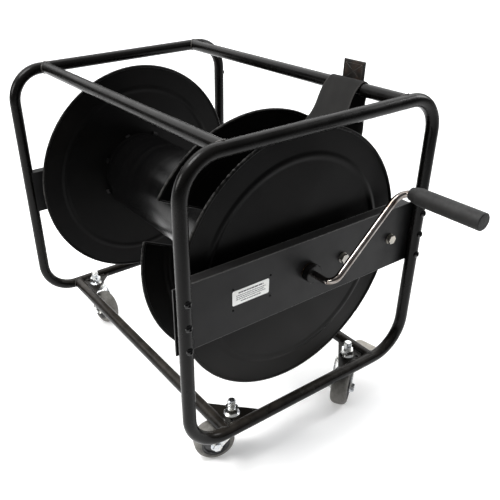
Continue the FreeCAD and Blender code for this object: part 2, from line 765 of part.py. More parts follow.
def save_plates():
    save("front_cross_plate", front_cross_plate())
    save("rear_cross_plate", rear_cross_plate())
    for name, side in (("front", -1), ("rear", 1)):
        save(name + "_bearing_housing", bearing_housing(side))
        save(name + "_axle_bush", axle_bush(side))
    save("plate_screws", *[plate_screw(p) for p in screw_places()])
    save("plate_screw_nuts", *[plate_nut(p) for p in screw_places()])
    save("plate_bolts", *[hex_bolt(x) for x in PLATE_BOLTS_X])
    save("plate_bolt_washers", *[bolt_washer(x) for x in PLATE_BOLTS_X])
    save("plate_bolt_nuts", *[bolt_nut(x) for x in PLATE_BOLTS_X])
    save("label_plate", label_plate())


def save_drum():
    save("drum_core", drum_core())
    save("front_disc", disc(DISC_Y["front"], -1))
    save("middle_disc", slotted_disc(DISC_Y["middle"]))
    save("rear_disc", disc(DISC_Y["rear"], -1))
    save("core_lugs", *core_lugs())
    save("hub_flanges", hub_flange("front", -1), hub_flange("rear", 1))
    save("drum_axle", axle())
    save("crank_collar", crank_collar())
    save("crank_arm", crank_arm())
    save("crank_grip", crank_grip())


def save_castors():
    nuts = []
    for name, at, angle, braked in castor_places():
        save("castor_stem_" + name, placed(castor_stem(), at, 0))
        nuts.append(placed(flange_nut(), at, 15))
        save("castor_fork_" + name, placed(fork_with_holes(braked), at, angle))
        save("castor_axle_" + name, *[placed(s, at, angle) for s in axle_bolt()])
        save("castor_tyre_" + name, placed(tyre(), at, angle))
        save("castor_hub_" + name, placed(wheel_hub(), at, angle))
        if braked:
            save("brake_pin_" + name, placed(brake_pin(), at, angle))
            save("brake_pedal_" + name, placed(brake_pedal(), at, angle))
    save("castor_nuts", *nuts)


os.makedirs("parts", exist_ok=True)
save_frame()
save_plates()
save_drum()
save("strap_loop", strap_loop())
save("strap_end_tab", strap_end_tab())
save_castors()
print("origin shift", TO_ORIGIN)
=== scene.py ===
"""Looks of the hand-cranked cable drum: finishes, webbing, welds, threads, and a plain studio.

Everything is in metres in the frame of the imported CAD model: +Z up and the crank end towards -Y.
"""
import bpy
import bmesh
import json
import math
import random
from mathutils import Matrix, Vector


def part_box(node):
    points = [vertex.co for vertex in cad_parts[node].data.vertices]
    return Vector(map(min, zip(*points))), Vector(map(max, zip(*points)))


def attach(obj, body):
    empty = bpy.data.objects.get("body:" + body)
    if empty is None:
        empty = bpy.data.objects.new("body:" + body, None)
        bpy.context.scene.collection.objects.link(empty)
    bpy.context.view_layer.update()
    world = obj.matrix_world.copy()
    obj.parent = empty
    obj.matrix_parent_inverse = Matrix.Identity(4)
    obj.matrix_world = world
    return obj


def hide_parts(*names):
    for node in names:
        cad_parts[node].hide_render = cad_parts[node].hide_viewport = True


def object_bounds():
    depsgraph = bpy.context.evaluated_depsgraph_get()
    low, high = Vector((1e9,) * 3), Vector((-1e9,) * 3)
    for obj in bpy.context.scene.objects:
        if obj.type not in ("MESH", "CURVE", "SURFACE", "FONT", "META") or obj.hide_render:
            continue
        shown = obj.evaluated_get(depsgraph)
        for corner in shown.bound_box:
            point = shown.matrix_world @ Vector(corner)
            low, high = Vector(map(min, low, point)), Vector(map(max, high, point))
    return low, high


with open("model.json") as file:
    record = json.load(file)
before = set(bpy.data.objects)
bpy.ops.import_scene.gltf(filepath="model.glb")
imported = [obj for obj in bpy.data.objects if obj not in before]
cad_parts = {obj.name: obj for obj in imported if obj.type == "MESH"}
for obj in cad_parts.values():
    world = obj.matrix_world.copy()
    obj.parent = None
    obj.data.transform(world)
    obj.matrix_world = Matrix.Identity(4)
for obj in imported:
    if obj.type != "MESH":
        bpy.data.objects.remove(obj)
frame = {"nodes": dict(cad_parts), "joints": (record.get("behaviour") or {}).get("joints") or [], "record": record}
cad_low, cad_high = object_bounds()

MM = 0.001


def middle(node):
    low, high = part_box(node)
    return (low + high) / 2


def extent(node):
    low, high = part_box(node)
    return high - low


# --- places and sizes, from the frame --------------------------------------------------------------
AXIS = middle("drum_axle")
DISC_R = extent("rear_disc").z / 2
CORE_R = extent("drum_core").z / 2
TUBE_R = extent("top_right_rail").z / 2
RAIL = middle("top_right_rail")
HOOP_Y = {"front": middle("front_hoop").y, "rear": middle("rear_hoop").y}
FRONT_DISC_Y = middle("front_disc").y
STRAP_Y = middle("strap_loop").y
STRAP_W = extent("strap_loop").y
TAB_W = extent("strap_end_tab").y
CASTORS = ("front_left", "front_right", "rear_left", "rear_right")
JOINTS = {joint["name"]: joint for joint in frame["joints"]}


# --- small mesh tools ------------------------------------------------------------------------------
def as_object(name, bm, smooth=True):
    """Finish a bmesh as an object in the scene."""
    bmesh.ops.recalc_face_normals(bm, faces=bm.faces)
    mesh = bpy.data.meshes.new(name)
    bm.to_mesh(mesh)
    bm.free()
    for face in mesh.polygons:
        face.use_smooth = smooth
    piece = bpy.data.objects.new(name, mesh)
    bpy.context.scene.collection.objects.link(piece)
    return piece


def add_loft(bm, rings, closed=False):
    """Skin through rings of points. An open one is capped at both ends."""
    rows = [[bm.verts.new(point) for point in ring] for ring in rings]
    count = len(rows[0])
    for i in range(len(rows) if closed else len(rows) - 1):
        here = rows[i]
        there = rows[(i + 1) % len(rows)]
        for j in range(count):
            k = (j + 1) % count
            bm.faces.new((here[j], here[k], there[k], there[j]))
    if not closed:
        bm.faces.new(list(reversed(rows[0])))
        bm.faces.new(rows[-1])
    return rows


def tube_rings(path, radii, sides=10, closed=False):
    """Rings of a round bar along a path, turned as little as possible from one to the next."""
    rings = []
    side = None
    for i, point in enumerate(path):
        before = path[i - 1] if i > 0 or closed else point
        after = path[(i + 1) % len(path)] if i + 1 < len(path) or closed else point
        tangent = (after - before).normalized()
        side = tangent.orthogonal() if side is None else side - tangent * side.dot(tangent)
        side.normalize()
        other = tangent.cross(side)
        ring = []
        for j in range(sides):
            angle = 2 * math.pi * j / sides
            ring.append(point + (side * math.cos(angle) + other * math.sin(angle)) * radii[i])
        rings.append(ring)
    return rings


def resampled(path, step):
    """The same run with points a step apart."""
    out = [path[0]]
    left = step
    for a, b in zip(path, path[1:]):
        length = (b - a).length
        at = left
        while at < length:
            out.append(a.lerp(b, at / length))
            at += step
        left = at - length
    return out


def smoothstep(value, low, high):
    t = min(1.0, max(0.0, (value - low) / (high - low)))
    return t * t * (3 - 2 * t)


# --- materials -------------------------------------------------------------------------------------
class Finish:
    """A procedural material round one Principled shader, in object coordinates of the row frame."""

    def __init__(self, name, **constants):
        self.material = bpy.data.materials.new(name)
        self.material.use_nodes = True
        self.tree = self.material.node_tree
        self.shader = self.tree.nodes["Principled BSDF"]
        for socket, value in constants.items():
            self.shader.inputs[socket.replace("_", " ")].default_value = value
        self.place = self.add("ShaderNodeTexCoord").outputs["Object"]

    def add(self, kind, inputs=None, **settings):
        """New node. Inputs are numbers, vectors or sockets, by name or by index."""
        node = self.tree.nodes.new(kind)
        for key, value in settings.items():
            setattr(node, key, value)
        for key, value in (inputs or {}).items():
            if isinstance(value, bpy.types.NodeSocket):
                self.tree.links.new(value, node.inputs[key])
            else:
                node.inputs[key].default_value = value
        return node

    def noise(self, scale, detail=3.0, roughness=0.55, vector=None):
        inputs = {"Vector": vector or self.place, "Scale": scale, "Detail": detail, "Roughness": roughness}
        return self.add("ShaderNodeTexNoise", inputs).outputs["Fac"]

    def cells(self, scale):
        inputs = {"Vector": self.place, "Scale": scale}
        return self.add("ShaderNodeTexVoronoi", inputs).outputs["Distance"]

    def math(self, operation, first, second=0.0, third=0.0):
        return self.add("ShaderNodeMath", {0: first, 1: second, 2: third}, operation=operation).outputs[0]

    def spread(self, value, low, high, to_low=0.0, to_high=1.0):
        """Map a value from one range to another, clamped."""
        inputs = {"Value": value, "From Min": low, "From Max": high, "To Min": to_low, "To Max": to_high}
        return self.add("ShaderNodeMapRange", inputs).outputs["Result"]

    def mix(self, share, first, second):
        node = self.add("ShaderNodeMix", data_type="RGBA")
        for key, value in ((0, share), (6, first), (7, second)):
            if isinstance(value, bpy.types.NodeSocket):
                self.tree.links.new(value, node.inputs[key])
            else:
                node.inputs[key].default_value = value if key == 0 else (*value, 1.0)
        return node.outputs[2]

    def stretched(self, scale_x, scale_y, scale_z):
        """The piece's own coordinates, scaled by a factor along each axis."""
        inputs = {"Vector": self.place, "Scale": (scale_x, scale_y, scale_z)}
        return self.add("ShaderNodeMapping", inputs).outputs["Vector"]

    def parts_of(self, vector=None):
        node = self.add("ShaderNodeSeparateXYZ", {"Vector": vector or self.place})
        return node.outputs[0], node.outputs[1], node.outputs[2]

    def facing_up(self):
        normal = self.add("ShaderNodeNewGeometry").outputs["Normal"]
        return self.spread(self.parts_of(normal)[2], 0.35, 1.0)

    def colour(self, socket):
        self.tree.links.new(socket, self.shader.inputs["Base Color"])

    def roughness(self, socket):
        self.tree.links.new(socket, self.shader.inputs["Roughness"])

    def bump(self, *layers):
        """Bumps from (height socket, depth in metres) pairs, one on another."""
        normal = None
        for height, depth in layers:
            inputs = {"Height": height, "Distance": depth}
            if normal:
                inputs["Normal"] = normal
            normal = self.add("ShaderNodeBump", inputs).outputs["Normal"]
        self.tree.links.new(normal, self.shader.inputs["Normal"])


DUST = (0.135, 0.118, 0.100)


def dusted(finish, paint, amount):
    """Thin dust on what faces up, thicker on the tubes and plates near the floor."""
    patches = finish.spread(finish.noise(38.0, 5.0), 0.30, 0.70, 0.35, 1.0)
    low_down = finish.spread(finish.parts_of()[2], 0.10, 0.30, 0.27 * amount, 0.02 * amount)
    share = finish.math("MULTIPLY", finish.math("MULTIPLY", patches, finish.facing_up()), low_down)
    return finish.mix(share, paint, DUST)


def powder_coat(name, dark, light, gloss, peel_depth, shine, dust=1.0):
    """Black powder coat: slight colour drift, fine orange peel, handling marks and dust."""
    finish = Finish(name, Metallic=0.0, IOR=1.5, Specular_IOR_Level=shine)
    drift = finish.spread(finish.noise(11.0, 4.0), 0.3, 0.7)
    paint = finish.mix(drift, dark, light)
    finish.colour(dusted(finish, paint, dust))
    finish.roughness(finish.spread(finish.noise(23.0, 6.0, 0.62), 0.35, 0.7, gloss - 0.05, gloss + 0.09))
    finish.bump((finish.noise(520.0, 2.0), peel_depth), (finish.noise(1700.0, 1.0), peel_depth * 0.3))
    return finish.material


def disc_paint():
    """Satin black on the drum: round scuffs left by cable, a painted highlight in patches along the rim, and a
    painted reflection of the floor low on the front disc.
    """
    finish = Finish("disc_paint", Metallic=0.0, IOR=1.5, Specular_IOR_Level=0.075)
    x, y, z = finish.parts_of()
    height = finish.math("SUBTRACT", z, AXIS.z)
    squares = finish.math("ADD", finish.math("POWER", x, 2.0), finish.math("POWER", height, 2.0))
    radius = finish.math("SQRT", squares)
    round_about = finish.math("MULTIPLY", finish.math("ARCTAN2", height, x), 0.02)
    polar = finish.add("ShaderNodeCombineXYZ", {0: radius, 1: round_about, 2: y}).outputs[0]
    scuffs = finish.spread(finish.noise(900.0, 3.0, 0.6, polar), 0.62, 0.74)
    zone = finish.spread(finish.noise(16.0, 3.0), 0.42, 0.66)
    scuffs = finish.math("MULTIPLY", scuffs, zone)
    drift = finish.spread(finish.noise(7.0, 4.0), 0.3, 0.7)
    paint = finish.mix(drift, (0.0012, 0.0012, 0.0013), (0.0030, 0.0028, 0.0026))
    paint = finish.mix(finish.math("MULTIPLY", scuffs, 0.35), paint, (0.022, 0.021, 0.020))
    # painted reflection: the lower part of the front disc's outer face is painted a lighter grey, standing in for
    # the reflected white floor
    floor_reflection_low = finish.spread(height, -60 * MM, -250 * MM, 0.0, 0.16)
    front_side = finish.spread(y, FRONT_DISC_Y + 20 * MM, FRONT_DISC_Y + 5 * MM)
    paint = finish.mix(finish.math("MULTIPLY", floor_reflection_low, front_side), paint, (0.135, 0.130, 0.125))
    # painted highlight: a thin band along the rim of each disc is painted lighter in patches, standing in for the
    # highlight on the rolled rim
    rim = finish.spread(radius, DISC_R - 3.2 * MM, DISC_R - 0.4 * MM)
    highlight_and_wear = finish.math("MULTIPLY", rim, finish.spread(finish.noise(140.0, 5.0), 0.4, 0.62))
    finish.colour(finish.mix(finish.math("MULTIPLY", highlight_and_wear, 0.5), paint, (0.060, 0.058, 0.055)))
    even = finish.spread(finish.noise(19.0, 5.0), 0.3, 0.7, 0.31, 0.42)
    finish.roughness(finish.math("MULTIPLY_ADD", scuffs, 0.12, even))
    finish.bump((finish.noise(430.0, 2.0), 0.05 * MM), (scuffs, -0.02 * MM))
    return finish.material


def core_paint():
    """Glossier black on the core, with faint rings along it where cable has rubbed."""
    finish = Finish("core_paint", Metallic=0.0, IOR=1.5, Specular_IOR_Level=0.24)
    rings = finish.noise(1.0, 4.0, 0.6, finish.stretched(3.0, 160.0, 3.0))
    rubbed = finish.spread(rings, 0.35, 0.75)
    finish.colour(finish.mix(rubbed, (0.0010, 0.0010, 0.0011), (0.0028, 0.0027, 0.0026)))
    finish.roughness(finish.spread(rings, 0.3, 0.7, 0.19, 0.23))
    finish.bump((finish.noise(430.0, 2.0), 0.02 * MM))
    return finish.material


def black_oxide():
    """Glossy blackened screws, a little greyed on their high places."""
    finish = Finish("black_screw", Specular_IOR_Level=0.3)
    rubbed = finish.spread(finish.noise(420.0, 5.0), 0.55, 0.75)
    finish.colour(finish.mix(rubbed, (0.0008, 0.0008, 0.0008), (0.006, 0.006, 0.006)))
    finish.roughness(finish.spread(finish.noise(260.0, 3.0), 0.3, 0.7, 0.08, 0.13))
    finish.bump((finish.noise(2600.0, 2.0), 0.004 * MM))
    return finish.material


def zinc_plate(name, blue, straw, gloss):
    """Zinc plating that drifts between a blue and a straw cast, with small dull spots."""
    finish = Finish(name, Metallic=1.0)
    cast = finish.spread(finish.noise(60.0, 3.0), 0.35, 0.65)
    plated = finish.mix(cast, blue, straw)
    spots = finish.spread(finish.cells(700.0), 0.0, 0.35, 0.35, 0.0)
    finish.colour(finish.mix(spots, plated, [0.7 * share for share in straw]))
    finish.roughness(finish.spread(finish.noise(230.0, 4.0), 0.3, 0.7, gloss - 0.08, gloss + 0.08))
    finish.bump((finish.noise(900.0, 3.0), 0.015 * MM))
    return finish.material


def turned_metal(name, first, second, gloss, scratch):
    """Bare or plated metal that was turned or polished, with fine streaks."""
    finish = Finish(name, Metallic=1.0)
    stain = finish.spread(finish.noise(45.0, 4.0), 0.35, 0.7)
    finish.colour(finish.mix(stain, first, second))
    finish.roughness(finish.spread(finish.noise(150.0, 5.0), 0.3, 0.75, gloss, gloss * 1.9))
    finish.bump((finish.noise(1500.0, 2.0), scratch))
    return finish.material


def label_stock():
    """Off-white printed label, slightly yellowed and scuffed."""
    finish = Finish("label_white", Specular_IOR_Level=0.5)
    aged = finish.spread(finish.noise(90.0, 4.0), 0.35, 0.7)
    clean = finish.mix(aged, (0.97, 0.97, 0.95), (0.88, 0.88, 0.85))
    marks = finish.spread(finish.noise(600.0, 5.0), 0.68, 0.78)
    finish.colour(finish.mix(marks, clean, (0.4, 0.4, 0.39)))
    finish.roughness(finish.spread(finish.noise(200.0), 0.3, 0.7, 0.3, 0.42))
    finish.bump((finish.noise(700.0, 2.0), 0.01 * MM))
    return finish.material


def label_ink():
    finish = Finish("label_ink")
    highlight_and_wear = finish.spread(finish.noise(1100.0, 4.0), 0.4, 0.75)
    finish.colour(finish.mix(highlight_and_wear, (0.05, 0.05, 0.055), (0.16, 0.16, 0.17)))
    finish.roughness(finish.spread(finish.noise(500.0), 0.3, 0.7, 0.45, 0.6))
    finish.bump((finish.noise(1800.0), 0.004 * MM))
    return finish.material


def foam():
    """Closed-cell black foam: fine open texture, slightly greyed where it is held."""
    finish = Finish("grip_foam", Specular_IOR_Level=0.3, Sheen_Weight=0.02, Sheen_Roughness=0.4)
    held = finish.spread(finish.noise(34.0, 4.0), 0.35, 0.7)
    finish.colour(finish.mix(held, (0.0070, 0.0068, 0.0067), (0.0145, 0.0140, 0.0133)))
    finish.roughness(finish.spread(finish.noise(170.0, 4.0), 0.3, 0.7, 0.5, 0.66))
    finish.bump((finish.cells(1500.0), 0.10 * MM), (finish.noise(420.0, 3.0), 0.10 * MM))
    return finish.material


def webbing():
    """Woven strap: ribs across, warp threads along, a firmer edge and pale rubbed fibres."""
    finish = Finish("webbing", Specular_IOR_Level=0.12, Sheen_Weight=0.05, Sheen_Roughness=0.5)
    weave = finish.add("ShaderNodeAttribute", attribute_name="weave").outputs["Vector"]
    across, along, edge = finish.parts_of(weave)
    rib = finish.math("SINE", finish.math("MULTIPLY", along, 2 * math.pi / (2.1 * MM)))
    thread = finish.math("SINE", finish.math("MULTIPLY", across, 2 * math.pi / (1.5 * MM)))
    crossing = finish.math("MULTIPLY", rib, thread)
    height = finish.math("MULTIPLY_ADD", crossing, 0.35, finish.math("MULTIPLY", rib, 0.5))
    fuzz = finish.noise(900.0, 4.0, 0.6)
    drift = finish.spread(finish.noise(26.0, 5.0), 0.3, 0.7)
    cloth = finish.mix(drift, (0.0034, 0.0032, 0.0031), (0.0068, 0.0065, 0.0060))
    # painted highlight: the rib crests are painted lighter than the hollows between them
    cloth = finish.mix(finish.spread(height, -0.6, 0.9, 0.0, 0.35), cloth, (0.021, 0.020, 0.019))
    rubbed = finish.math("MULTIPLY", finish.spread(edge, 0.90, 0.985), finish.spread(fuzz, 0.4, 0.6))
    finish.colour(finish.mix(finish.math("MULTIPLY", rubbed, 0.5), cloth, (0.075, 0.072, 0.068)))
    finish.roughness(finish.spread(fuzz, 0.3, 0.7, 0.72, 0.9))
    finish.bump((height, 0.16 * MM), (fuzz, 0.08 * MM))
    return finish.material


def stiff_tab():
    """Brown-black coated webbing of the stitched end, glossier than the strap."""
    finish = Finish("strap_tab", Specular_IOR_Level=0.15, Coat_Weight=0.04, Coat_Roughness=0.3)
    weave = finish.add("ShaderNodeAttribute", attribute_name="weave").outputs["Vector"]
    across, along, edge = finish.parts_of(weave)
    rib = finish.math("SINE", finish.math("MULTIPLY", along, 2 * math.pi / (2.1 * MM)))
    blotch = finish.spread(finish.noise(70.0, 5.0), 0.42, 0.62)
    cloth = finish.mix(blotch, (0.0040, 0.0032, 0.0028), (0.016, 0.0095, 0.0065))
    border = finish.spread(edge, 0.80, 0.88)
    finish.colour(finish.mix(border, cloth, (0.0022, 0.0020, 0.0020)))
    finish.roughness(finish.spread(finish.noise(300.0, 3.0), 0.3, 0.7, 0.35, 0.55))
    finish.bump((rib, 0.10 * MM), (finish.noise(500.0, 3.0), 0.06 * MM))
    return finish.material


def stitch_thread():
    finish = Finish("stitch_thread", Sheen_Weight=0.2)
    ply = finish.noise(2400.0, 3.0)
    finish.colour(finish.mix(finish.spread(ply, 0.35, 0.65), (0.025, 0.023, 0.021), (0.075, 0.068, 0.060)))
    finish.roughness(finish.spread(ply, 0.3, 0.7, 0.6, 0.8))
    finish.bump((ply, 0.05 * MM))
    return finish.material


def rubber(name, clean, dirty, low, high):
    """Grey rubber or plastic with rubbed-in dirt and a fine moulded surface."""
    finish = Finish(name)
    grime = finish.spread(finish.noise(85.0, 6.0, 0.65), 0.38, 0.7)
    finish.colour(finish.mix(grime, clean, dirty))
    finish.roughness(finish.spread(finish.noise(240.0, 4.0), 0.3, 0.7, low, high))
    finish.bump((finish.noise(650.0, 3.0), 0.04 * MM), (finish.noise(120.0, 3.0), 0.05 * MM))
    return finish.material


def weld_metal():
    """Painted-over weld bead, a little rougher and browner than the tube."""
    finish = Finish("weld_bead")
    burnt = finish.spread(finish.noise(160.0, 4.0), 0.35, 0.65)
    finish.colour(finish.mix(burnt, (0.008, 0.0075, 0.007), (0.032, 0.027, 0.022)))
    finish.roughness(finish.spread(finish.noise(400.0, 3.0), 0.3, 0.7, 0.32, 0.5))
    finish.bump((finish.noise(900.0, 3.0), 0.08 * MM))
    return finish.material


def floor_paint():
    """White paper that falls off to a pale grey well in front of the object."""
    finish = Finish("studio_floor", Emission_Strength=0.28)
    cloudy = finish.spread(finish.noise(1.5, 2.0), 0.3, 0.7)
    paper = finish.mix(cloudy, (0.86, 0.86, 0.86), (0.885, 0.885, 0.885))
    lit = finish.mix(finish.spread(finish.parts_of()[1], -2.0, -0.70), (0.42, 0.42, 0.42), paper)
    finish.colour(lit)
    finish.tree.links.new(lit, finish.shader.inputs["Emission Color"])
    finish.roughness(finish.spread(finish.noise(6.0), 0.3, 0.7, 0.75, 0.85))
    return finish.material


FRAME_BLACK = ((0.0012, 0.0011, 0.0010), (0.0030, 0.0027, 0.0024))
PLATE_BLACK = ((0.0060, 0.0060, 0.0063), (0.0095, 0.0093, 0.0095))
COLLAR_BLACK = ((0.0010, 0.0010, 0.0010), (0.0024, 0.0023, 0.0022))
# lighter grey of the plate's fold beads: a painted highlight along the folds
FOLD_HIGHLIGHT_GREY = ((0.016, 0.0155, 0.015), (0.045, 0.043, 0.040))

MATERIALS = {
    "frame_paint": powder_coat("frame_paint", *FRAME_BLACK, 0.25, 0.05 * MM, 0.135),
    "plate_paint": powder_coat("plate_paint", *PLATE_BLACK, 0.40, 0.04 * MM, 0.17),
    "disc_paint": disc_paint(),
    "black_screw": black_oxide(),
    "zinc": zinc_plate("zinc", (0.66, 0.69, 0.73), (0.72, 0.71, 0.66), 0.27),
    "bush_bronze": turned_metal("bush_bronze", (0.42, 0.28, 0.14), (0.30, 0.19, 0.10), 0.25, 0.02 * MM),
    "label_white": label_stock(),
    "axle_steel": turned_metal("axle_steel", (0.46, 0.46, 0.47), (0.34, 0.33, 0.32), 0.24, 0.02 * MM),
    "chrome": turned_metal("chrome", (0.30, 0.28, 0.265), (0.115, 0.088, 0.070), 0.045, 0.003 * MM),
    "grip_foam": foam(),
    "webbing": webbing(),
    "tyre_grey": rubber("tyre_grey", (0.135, 0.130, 0.118), (0.075, 0.070, 0.061), 0.5, 0.7),
    "hub_grey": rubber("hub_grey", (0.060, 0.060, 0.063), (0.034, 0.033, 0.033), 0.38, 0.55),
    "pedal_grey": rubber("pedal_grey", (0.50, 0.47, 0.41), (0.36, 0.33, 0.28), 0.4, 0.58),
}


def dress(piece, material, body=None):
    """Give a piece its material, and a new piece its body."""
    piece.data.materials.clear()
    piece.data.materials.append(material)
    if body:
        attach(piece, body)
    return piece


for part in frame["record"]["subparts"]:
    dress(frame["nodes"][part["node"]], MATERIALS[part["material_slot"]])

# a few nodes look different from the rest of their record slot
# the plate bolts' zinc is painted darker than the rest as painted shade; its higher roughness makes it dull
dull_zinc_painted_shade = zinc_plate("dull_zinc_painted_shade", (0.30, 0.295, 0.28), (0.40, 0.375, 0.33), 0.34)
gusset_paint = powder_coat("gusset_paint", *FRAME_BLACK, 0.30, 0.05 * MM, 0.10, dust=0.45)
dress(frame["nodes"]["drum_core"], core_paint())
dress(frame["nodes"]["crank_collar"], powder_coat("collar_paint", *COLLAR_BLACK, 0.22, 0.03 * MM, 0.16))
for node in ("plate_bolts", "plate_bolt_washers"):
    dress(frame["nodes"][node], dull_zinc_painted_shade)
for name in CASTORS:
    dress(frame["nodes"]["gusset_" + name], gusset_paint)


# --- strap -----------------------------------------------------------------------------------------
STRAP_T = 2.6 * MM
STRAP_LEAN = math.radians(48.5)      # upper run, from straight down towards -X
STRAP_SHIFT = 21.0 * MM              # how far the strap sits towards the rear on the rail
STRAP_STEP = 4.0 * MM
CORE_SLACK = 4.0 * MM
RAIL_FIT = 0.5 * MM
EDGE_SWELL = 0.22                    # how much thicker the woven edge is, as a share
RIPPLE = 0.25 * MM
TAB_T = 3.0 * MM
TAB_SHIFT = 3.0 * MM                 # further towards the rear than the strap on the rail
TAB_Y = STRAP_Y + STRAP_SHIFT + TAB_SHIFT
TAB_BEND = 1.2 * MM                  # how far the top leans away from the rail
STITCH_PITCH = 3.4 * MM


def strap_centre_line():
    """Closed line in the XZ plane: over the rail, down the upper run, round the core and back up."""
    rail_r = TUBE_R + RAIL_FIT + STRAP_T / 2
    core_r = CORE_R + CORE_SLACK + STRAP_T / 2
    to_rail = Vector((RAIL.x - AXIS.x, 0, RAIL.z - AXIS.z))
    spread = math.asin((core_r - rail_r) / to_rail.length)
    right = math.atan2(to_rail.z, to_rail.x) + spread - math.pi / 2
    left = math.pi - STRAP_LEAN

    def round_the(centre, radius, start, end, count):
        out = []
        for i in range(count + 1):
            angle = start + (end - start) * i / count
            x = centre.x + radius * math.cos(angle)
            z = centre.z + radius * math.sin(angle)
            out.append(Vector((x, 0, z)))
        return out

    over_rail = round_the(RAIL, rail_r, right, left, 24)
    run = Vector((-math.sin(STRAP_LEAN), 0, -math.cos(STRAP_LEAN)))
    offset = over_rail[-1] - Vector((AXIS.x, 0, AXIS.z))
    along = offset.dot(run)
    reach = -along - math.sqrt(along ** 2 - offset.length_squared + core_r ** 2)
    meets = over_rail[-1] + run * reach
    start = math.atan2(meets.z - AXIS.z, meets.x - AXIS.x)
    round_core = round_the(AXIS, core_r, start, right + 2 * math.pi, 60)
    line = resampled(over_rail + round_core + [over_rail[0]], STRAP_STEP)
    return eased(line, core_r, rail_r)


def eased(line, core_r, rail_r, rounds=40):
    """Average neighbours to round the corner, and keep clear of the core and the rail."""
    for _ in range(rounds):
        line = [line[i] * 0.5 + (line[i - 1] + line[(i + 1) % len(line)]) * 0.25 for i in range(len(line))]
        for centre, radius in ((AXIS, core_r), (RAIL, rail_r)):
            at = Vector((centre.x, 0, centre.z))
            line = [at + (p - at).normalized() * max((p - at).length, radius) for p in line]
    return line


def ribbon_rings(line, width, thickness, y_of, closed, columns=28):
    """Rings of a flat strap along a line in XZ, with rounded and slightly thicker edges."""
    rings = []
    marks = []
    travelled = 0.0
    for i, point in enumerate(line):
        before = line[i - 1] if i > 0 or closed else point
        after = line[(i + 1) % len(line)] if i + 1 < len(line) or closed else point
        tangent = (after - before).normalized()
        normal = Vector((-tangent.z, 0, tangent.x))
        travelled += (point - line[i - 1]).length if i else 0.0
        ring = []
        ring_marks = []
        for face in (1, -1):
            for j in range(columns):
                share = math.cos(math.pi * j / columns) * face
                edge = abs(share)
                swell = 1 + EDGE_SWELL * smoothstep(edge, 0.86, 0.95)
                half = thickness / 2 * math.sqrt(max(0.0, 1 - edge ** 14)) * swell
                ripple = RIPPLE * math.sin(share * 9.0 + travelled * 31.0)
                across = share * width / 2
                place = Vector((point.x, y_of(point) + across, point.z))
                ring.append(place + normal * (face * half + ripple))
                ring_marks.append((across, travelled, edge))
        rings.append(ring)
        marks.append(ring_marks)
    return rings, marks


def ribbon(name, line, width, thickness, y_of, closed=False):
    """Strap piece that carries its weave coordinates as a point attribute."""
    rings, marks = ribbon_rings(line, width, thickness, y_of, closed)
    bm = bmesh.new()
    layer = bm.verts.layers.float_vector.new("weave")
    for row, row_marks in zip(add_loft(bm, rings, closed), marks):
        for vert, mark in zip(row, row_marks):
            vert[layer] = mark
    return as_object(name, bm)


def strap_y(point):
    """The strap sits further back on the rail than between the discs."""
    away = math.hypot(point.x - AXIS.x, point.z - AXIS.z)
    top = math.hypot(RAIL.x - AXIS.x, RAIL.z - AXIS.z)
    return STRAP_Y + STRAP_SHIFT * smoothstep(away, DISC_R + 3 * MM, top - 4 * MM)


def make_strap():
    line = strap_centre_line()
    strap = ribbon("strap", line, STRAP_W, STRAP_T, strap_y, closed=True)
    dress(strap, MATERIALS["webbing"], "frame")
    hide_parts("strap_loop")


def make_tab():
    """Stiff end that stands up behind the rail, bent slightly away from it at the top."""
    low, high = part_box("strap_end_tab")
    foot = low.z
    height = high.z - low.z
    face = RAIL.x + TUBE_R + RAIL_FIT + STRAP_T * 1.5 + 0.3 * MM
    line = []
    for i in range(15):
        t = i / 14
        line.append(Vector((face + TAB_BEND * t * t, 0, foot + height * t)))
    tab = ribbon("strap_tab", line, TAB_W, TAB_T, lambda point: TAB_Y)
    dress(tab, stiff_tab(), "frame")
    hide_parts("strap_end_tab")
    return line


def make_stitches(tab_line):
    """Box-and-cross stitching on both faces of the tab."""
    half = TAB_W / 2 - 7 * MM
    low = tab_line[0].z + 22 * MM
    high = tab_line[-1].z - 6 * MM
    corners = [(-half, low), (half, low), (half, high), (-half, high)]
    runs = list(zip(corners, corners[1:] + corners[:1]))
    runs += [(corners[0], corners[2]), (corners[1], corners[3])]
    face = tab_line[0].x + 1.0 * MM
    bm = bmesh.new()
    for side in (-1, 1):
        for (y0, z0), (y1, z1) in runs:
            start = Vector((face, TAB_Y + y0, z0))
            end = Vector((face, TAB_Y + y1, z1))
            count = max(2, int((end - start).length / STITCH_PITCH))
            for i in range(count):
                a = start.lerp(end, (i + 0.15) / count)
                b = start.lerp(end, (i + 0.85) / count)
                lift = Vector((side * 1.65 * MM, 0, 0))
                bow = Vector((side * 0.35 * MM, 0, 0))
                crown = [a.lerp(b, share) + lift + bow for share in (0.3, 0.7)]
                path = [a + lift - bow, *crown, b + lift - bow]
                add_loft(bm, tube_rings(path, [0.3 * MM, 0.42 * MM, 0.42 * MM, 0.3 * MM], 6))
    dress(as_object("strap_stitches", bm), stitch_thread(), "frame")


# --- welds, folds and threads ------------------------------------------------------------------------
WELD_R = 1.7 * MM
WELD_RIPPLE = 2.6 * MM               # distance between two ripples of a bead
WELD_STEPS = 96                      # sections in the bead round a rail
WELD_SADDLE = 0.9 * MM               # how far the bead stays off the hoop's centre plane


def bead_radii(path, radius, seed):
    """Rippled and slightly uneven radius along a weld."""
    draw = random.Random(seed)
    phase = draw.uniform(0, 2 * math.pi)
    radii = []
    travelled = 0.0
    for i, point in enumerate(path):
        travelled += (point - path[i - 1]).length if i else 0.0
        wave = 0.16 * math.sin(2 * math.pi * travelled / WELD_RIPPLE + phase)
        radii.append(radius * (1 + wave + draw.uniform(-0.05, 0.05)))
    return radii


